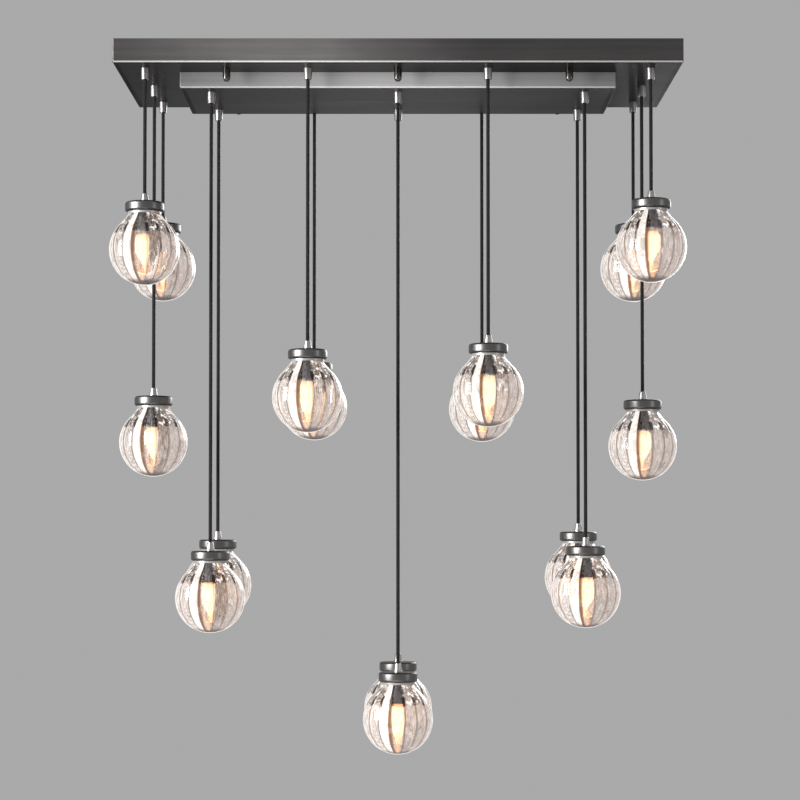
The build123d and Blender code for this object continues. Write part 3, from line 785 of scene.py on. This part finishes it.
class CHANDELIER_OT_stage(bpy.types.Operator):
    """Set up the camera, the pale floor and background, and the soft studio lights"""
    bl_idname = "chandelier.stage"
    bl_label = "Stage"

    def execute(self, context):
        studio = context.scene.chandelier_studio
        context.scene.view_settings.view_transform = "Standard"
        self.add_camera(context, studio)
        self.add_world(context, studio)
        self.add_floor(context, studio)
        middle = (CAD_BOX[0] + CAD_BOX[1]) / 2
        for light in SOFTBOXES:
            self.add_softbox(middle, *light)
        return {"FINISHED"}

    def add_camera(self, context, studio):
        data = bpy.data.cameras.new("camera")
        data.lens = studio.lens
        data.shift_y = studio.shift
        camera = bpy.data.objects.new("camera", data)
        context.scene.collection.objects.link(camera)
        camera.location = (studio.camera_x, studio.camera_y, studio.camera_z)
        camera.rotation_euler = (math.pi / 2 + studio.pitch, 0.0, 0.0)
        context.scene.camera = camera

    def add_world(self, context, studio):
        """A plain background, which the glass and the metal show too, and an even ambient light."""
        world = bpy.data.worlds.new("studio")
        world.use_nodes = True
        context.scene.world = world
        tree = world.node_tree
        tree.nodes.clear()
        path = place(tree, "LightPath").outputs
        seen = largest(tree, path["Is Camera Ray"], path["Is Transmission Ray"], path["Is Glossy Ray"])
        plain = place(tree, "Background", {"Color": (*studio.backdrop, 1.0), "Strength": 1.0}).outputs[0]
        ambient = place(tree, "Background", {"Color": (1.0, 1.0, 1.0, 1.0), "Strength": AMBIENT}).outputs[0]
        mixed = place(tree, "MixShader", {0: seen, 1: ambient, 2: plain}).outputs[0]
        place(tree, "OutputWorld", {"Surface": mixed})

    def add_floor(self, context, studio):
        """A pale floor that runs out into the background, and that is open from below."""
        radius, fade_start, fade_end = 40.0, 1.2, 4.0
        bm = bmesh.new()
        bmesh.ops.create_circle(bm, cap_ends=True, segments=96, radius=radius)
        mesh = bpy.data.meshes.new("floor")
        bm.to_mesh(mesh)
        bm.free()
        floor = bpy.data.objects.new("floor", mesh)
        floor.location.z = -studio.floor_drop
        context.scene.collection.objects.link(floor)
        made, tree, shader, here = new_material("pale_floor")
        shader["Base Color"].default_value = (*FLOOR_GREY, 1.0)
        shader["Roughness"].default_value = 0.8
        output = next(n for n in tree.nodes if n.type == "OUTPUT_MATERIAL")
        solid = next(n for n in tree.nodes if n.type == "BSDF_PRINCIPLED").outputs[0]
        far = place(tree, "Emission", {"Color": (*studio.backdrop, 1.0), "Strength": 1.0}).outputs[0]
        distance = place(tree, "VectorMath", {0: here}, operation="LENGTH").outputs["Value"]
        fade = ramp(tree, distance, fade_start, fade_end)
        faded = place(tree, "MixShader", {0: fade, 1: solid, 2: far}).outputs[0]
        clear = place(tree, "BsdfTransparent").outputs[0]
        below = place(tree, "NewGeometry").outputs["Backfacing"]
        whole = place(tree, "MixShader", {0: below, 1: faded, 2: clear}).outputs[0]
        feed(tree, output.inputs["Surface"], whole)
        made.cycles.emission_sampling = "NONE"
        mesh.materials.append(made)

    def add_softbox(self, middle, name, away, size, power):
        """A lamp so far away from the middle, and turned to it."""
        data = bpy.data.lights.new(name, "AREA")
        data.shape = "RECTANGLE"
        data.size, data.size_y = size
        data.energy = power
        lamp = bpy.data.objects.new(name, data)
        bpy.context.scene.collection.objects.link(lamp)
        lamp.location = middle + Vector(away)
        lamp.rotation_euler = Vector(away).to_track_quat("Z", "Y").to_euler()
        lamp.visible_camera = False
        lamp.visible_transmission = False


class CHANDELIER_OT_cords(bpy.types.Operator):
    """Hang the covered cords, each one straight under its lamp's weight"""
    bl_idname = "chandelier.cords"
    bl_label = "Cords"

    def execute(self, context):
        finish = context.scene.chandelier_cords
        cover = make_cord_cover(finish)
        for lamp in LAMPS:
            self.add_cord(context, lamp, finish, cover)
        dress("cord_tails", cover)
        return {"FINISHED"}

    def add_cord(self, context, lamp, finish, cover):
        low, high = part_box("cord_" + lamp)
        drop = high.z - low.z
        data = bpy.data.curves.new("cord_" + lamp, "CURVE")
        data.dimensions = "3D"
        spline = data.splines.new("NURBS")
        heights = (0.0, -drop / 2, -drop)
        spline.points.add(len(heights) - 1)
        for point, height in zip(spline.points, heights):
            point.co = (0.0, 0.0, height, 1.0)
        spline.order_u = 3
        spline.use_endpoint_u = True
        data.bevel_depth = finish.diameter / 2
        data.bevel_resolution = 6
        data.use_fill_caps = True
        data.materials.append(cover)
        piece = bpy.data.objects.new("woven_cord_" + lamp, data)
        context.scene.collection.objects.link(piece)
        top = Vector(((low.x + high.x) / 2, (low.y + high.y) / 2, high.z))
        piece.location = top
        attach(piece, "lamp_" + lamp)
        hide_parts("cord_" + lamp)


class CHANDELIER_OT_canopy(bpy.types.Operator):
    """Finish the two pans of the canopy, its nuts and grips, and what it holds inside"""
    bl_idname = "chandelier.canopy"
    bl_label = "Canopy"

    def execute(self, context):
        finish = context.scene.chandelier_canopy
        # Each pan gets its own painted highlight along X.
        patch = (finish.highlight_at, finish.highlight_width, finish.highlight_gain)
        look = (finish.steel, finish.underside, patch)
        dress("outer_canopy", make_canopy_metal("canopy_steel", finish, *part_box("outer_canopy"), *look))
        patch = (finish.lower_highlight_at, finish.lower_highlight_width, finish.lower_highlight_gain)
        look = (finish.tier_side, finish.tier_underside, patch)
        dress("lower_canopy", make_canopy_metal("lower_canopy_steel", finish, *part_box("lower_canopy"), *look))
        zinc = make_zinc("zinc_plate", ZINC)
        for node in ("crossbars", "canopy_studs", "grip_locknuts", "block_screws", "tier_fasteners"):
            dress(node, zinc)
        dress("earth_screw", make_zinc("green_lacquer", GREEN_LACQUER))
        dress("terminal_blocks", make_moulded("block_moulding", MOULDING))
        dress("cap_nuts", make_turned_metal("polished_nuts", NUT_METAL, roughness=0.14))
        dress("cord_grips", make_turned_metal("satin_grips", GRIP_METAL, roughness=0.32))
        return {"FINISHED"}


class CHANDELIER_OT_holders(bpy.types.Operator):
    """Make the lampholders: cord grip, cap, gallery ring and socket sleeve"""
    bl_idname = "chandelier.holders"
    bl_label = "Lampholders"

    def execute(self, context):
        sizes = context.scene.chandelier_holders
        # The cap's flat top and bottom faces get a painted shade.
        metal = make_turned_metal("cap_metal", sizes.metal, roughness=0.29, painted_shade=0.7)
        bright = make_turned_metal("gallery_metal", GALLERY_METAL, roughness=0.3, metallic=0.6)
        satin = make_turned_metal("sleeve_metal", sizes.sleeve, roughness=0.38)
        pale = make_turned_metal("cord_grip_metal", CORD_GRIP_METAL, roughness=0.3)
        bm = bmesh.new()
        self.add_grip(bm, sizes)
        self.add_cap(bm, sizes)
        self.add_gallery(bm, sizes)
        self.add_sleeve(bm, sizes)
        mesh = finished_mesh("lampholder", bm, [metal, bright, satin, pale])
        for lamp in LAMPS:
            piece = hang("turned_lampholder_" + lamp, mesh, lamp)
            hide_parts("lampholder_" + lamp)
        return {"FINISHED"}

    def add_grip(self, bm, sizes):
        """The cone that holds the cord, with a collar at its foot."""
        top, base, height = sizes.grip_top, sizes.grip_base, sizes.grip_height
        cord = bpy.context.scene.chandelier_cords.diameter / 2
        mouth, cone_foot, collar_top, collar = 0.002, 0.003, 0.0026, base + 0.0008
        outline = [(cord, height - mouth), (cord, height), (top, height), (base, cone_foot)]
        outline += [(collar, collar_top), (collar, 0.0), (cord, 0.0)]
        rounds = [0.0003, 0.0012, 0.0, 0.0004, 0.0]
        spin(bm, rounded(outline, rounds, steps=4), sides=48, slot=GRIP_SLOT)

    def add_cap(self, bm, sizes):
        """The cap: a flat top, generous rounds, and an edge turned in to the gallery."""
        radius, height, turn = sizes.cap_radius, sizes.cap_height, sizes.cap_round
        mouth, bore, wall = sizes.gallery_radius, 0.004, 0.002
        outline = [(bore, 0.0), (radius, 0.0), (radius, -height)]
        outline += [(mouth, -height), (mouth, -wall), (bore, -wall)]
        spin(bm, rounded(outline, [turn, turn * 1.05, 0.0, 0.0], steps=8), sides=96, slot=CAP_SLOT)

    def add_gallery(self, bm, sizes):
        """The bright ring round the globe's neck, with the plate across its top."""
        clearance, bore, plate = 0.0001, 0.004, 0.0012
        outer, inner = sizes.gallery_radius - clearance, sizes.gallery_radius - sizes.gallery_wall
        end, low = -sizes.gallery_end, -0.0035
        high = low + plate
        outline = [(bore, high), (outer, high), (outer, end), (inner, end), (inner, low), (bore, low)]
        rounds = [0.0, 0.0005, 0.0005, 0.001]
        spin(bm, rounded(outline, rounds, steps=4), sides=96, slot=GALLERY_SLOT)

    def add_sleeve(self, bm, sizes):
        """The socket's sleeve, with a rolled lower lip."""
        wall, plate_bore, top, depth = 0.0024, 0.004, -0.0045, 0.03
        radius, end = sizes.sleeve_radius, -sizes.sleeve_end
        bore, inner_end = radius - wall, end + depth
        outline = [(plate_bore, top), (radius, top), (radius, end)]
        outline += [(bore, end), (bore, inner_end), (0.0, inner_end)]
        rounds = [0.0012, 0.0008, 0.0008, 0.0]
        spin(bm, rounded(outline, rounds, steps=4), sides=64, slot=SLEEVE_SLOT)


class CHANDELIER_OT_globes(bpy.types.Operator):
    """Blow the ribbed glass globes"""
    bl_idname = "chandelier.globes"
    bl_label = "Globes"

    def execute(self, context):
        sizes = context.scene.chandelier_globes
        holder = context.scene.chandelier_holders
        radius = sizes.diameter / 2
        gap, steps_per_rib = 0.00005, 8
        centre = -holder.gallery_end - radius - gap
        ember = context.scene.chandelier_bulbs.ember
        glass = make_rib_glass(sizes, -holder.sleeve_end, centre - radius, ember)
        bm = bmesh.new()
        for slot, outline in enumerate(self.outlines(sizes, centre)):
            spin(bm, outline, sizes.ribs * steps_per_rib, slot, self.ribbed(sizes, centre))
        bmesh.ops.remove_doubles(bm, verts=bm.verts, dist=1e-7)
        mesh = finished_mesh("ribbed_globe", bm, [glass, make_clear_glass(sizes)], sharp=60.0)
        for lamp in LAMPS:
            piece = hang("ribbed_globe_" + lamp, mesh, lamp)
            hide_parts("globe_and_bulb_" + lamp)
        return {"FINISHED"}

    def side(self, sizes, radius, throat, bands):
        """Radius and height from the foot to the top of the shoulder, about the globe's centre."""
        full = sizes.diameter / 2
        end = math.pi - math.acos(sizes.shoulder / full)
        angles = [end * i / bands for i in range(bands + 1)]
        points = [(radius * math.sin(angle), -radius * math.cos(angle)) for angle in angles]
        start, height = points[-1]
        rise = full - height
        run = rise * height / start
        flare = throat - start + run
        steps = bands // 3
        for i in range(1, steps + 1):
            part = i / steps
            points.append((start - run * part + flare * part**2, height + rise * part))
        return points

    def outlines(self, sizes, centre):
        """Up the outside, and from the neck's rim down the inside."""
        full = sizes.diameter / 2
        throat = sizes.neck_radius - sizes.wall
        outer_bands, inner_bands = 36, 28
        outer = self.side(sizes, full, sizes.neck_radius, outer_bands)
        inner = self.side(sizes, full - sizes.rib_depth - sizes.wall, throat, inner_bands)
        top, round_off = -sizes.neck_top - centre, 0.0006
        outer += [(sizes.neck_radius, top - round_off), (sizes.neck_radius - round_off, top)]
        inner += [(throat, top - round_off), (throat + round_off, top), outer[-1]]
        return [[(r, z + centre) for r, z in side] for side in (outer, inner)]

    def ribbed(self, sizes, centre):
        """How the ribs change a radius: lobes that meet in grooves, faint at the foot, gone at the neck."""
        full = sizes.diameter / 2
        inner = full - sizes.rib_depth - sizes.wall
        neck_side = sizes.neck_radius - 0.001
        inner_share = 0.35

        def reach(radius, height, angle):
            up = height - centre
            fade = min(1.0, max(0.0, (full - up) / (full - sizes.shoulder)))
            across = (angle * sizes.ribs / FULL_TURN + 0.5) % 1.0 * 2 - 1
            on_ball = math.hypot(radius, up) > inner + sizes.wall / 2
            outside = on_ball or (up > sizes.shoulder and radius > neck_side)
            depth = sizes.rib_depth if outside else sizes.rib_depth * inner_share
            return radius - depth * across**2 * fade * min(1.0, radius / full)

        return reach


class CHANDELIER_OT_bulbs(bpy.types.Operator):
    """Put a glowing tubular bulb in each sleeve"""
    bl_idname = "chandelier.bulbs"
    bl_label = "Bulbs"

    def execute(self, context):
        sizes = context.scene.chandelier_bulbs
        top = -context.scene.chandelier_holders.sleeve_end
        end = top - sizes.length
        glass = make_bulb_glass(sizes)
        bm = bmesh.new()
        spin(bm, self.envelope(sizes, top, end), sides=48)
        envelope = finished_mesh("bulb_glass", bm, [glass])
        top_gap, tip_gap = 0.001, 0.002
        core_top, core_end = top - top_gap, end + tip_gap
        bm = bmesh.new()
        spin(bm, self.core(sizes, core_top, core_end), sides=24)
        core = finished_mesh("glowing_core", bm, [make_core_glow(sizes, core_top, core_end)])
        for lamp in LAMPS:
            hang("bulb_glass_" + lamp, envelope, lamp)
            hang("glowing_core_" + lamp, core, lamp)
        return {"FINISHED"}

    def envelope(self, sizes, top, end):
        """Down the outside of the tube, round its end, and back up the inside."""
        wall, neck_length, shoulder, steps = 0.0008, 0.008, 0.009, 8

        def down(inset):
            neck, radius = sizes.neck_radius - inset, sizes.radius - inset
            round_start = end + sizes.radius
            points = [(neck, top + neck_length), (neck, top), (radius, top - shoulder), (radius, round_start)]
            for i in range(1, steps + 1):
                angle = math.pi / 2 * i / steps
                points.append((radius * math.cos(angle), round_start - radius * math.sin(angle)))
            points[-1] = (0.0, points[-1][1])
            return points

        outer, inner = down(0.0), down(wall)
        return outer + inner[::-1] + [outer[0]]

    def core(self, sizes, top, end):
        """A slim spindle, in shares of its radius and length: the filament's glow."""
        taper = [(0.0, 0.0), (0.16, 0.02), (0.24, 0.12), (0.40, 0.24), (0.66, 0.36), (0.88, 0.48)]
        crown = [(1.0, 0.62), (1.0, 0.86), (0.9, 0.94), (0.7, 0.985), (0.0, 1.0)]
        return [(sizes.core_radius * r, end + (top - end) * h) for r, h in taper + crown]


class CHANDELIER_PT_panel(bpy.types.Panel):
    """Sizes and finishes of the chandelier, and the steps that build it"""
    bl_label = "Chandelier"
    bl_idname = "CHANDELIER_PT_panel"
    bl_space_type = "VIEW_3D"
    bl_region_type = "UI"
    bl_category = "Chandelier"

    def draw(self, context):
        for operator in STEPS:
            self.layout.operator(operator.bl_idname)
        for name, group_type in SETTINGS.items():
            box = self.layout.box()
            box.label(text=group_type.__name__)
            for key in group_type.__annotations__:
                box.prop(getattr(context.scene, name), key)


STEPS = (
    CHANDELIER_OT_effects,
    CHANDELIER_OT_stage,
    CHANDELIER_OT_cords,
    CHANDELIER_OT_canopy,
    CHANDELIER_OT_holders,
    CHANDELIER_OT_globes,
    CHANDELIER_OT_bulbs,
)


def register():
    for made in (*SETTINGS.values(), *STEPS, CHANDELIER_PT_panel):
        bpy.utils.register_class(made)
    for name, group_type in SETTINGS.items():
        setattr(bpy.types.Scene, name, PointerProperty(type=group_type))


def unregister():
    for name in SETTINGS:
        delattr(bpy.types.Scene, name)
    for made in (CHANDELIER_PT_panel, *reversed(STEPS), *reversed(SETTINGS.values())):
        bpy.utils.unregister_class(made)


def main():
    register()
    bpy.ops.chandelier.effects()
    bpy.ops.chandelier.stage()
    bpy.ops.chandelier.cords()
    bpy.ops.chandelier.canopy()
    bpy.ops.chandelier.holders()
    bpy.ops.chandelier.globes()
    bpy.ops.chandelier.bulbs()


if __name__ == "__main__":
    main()
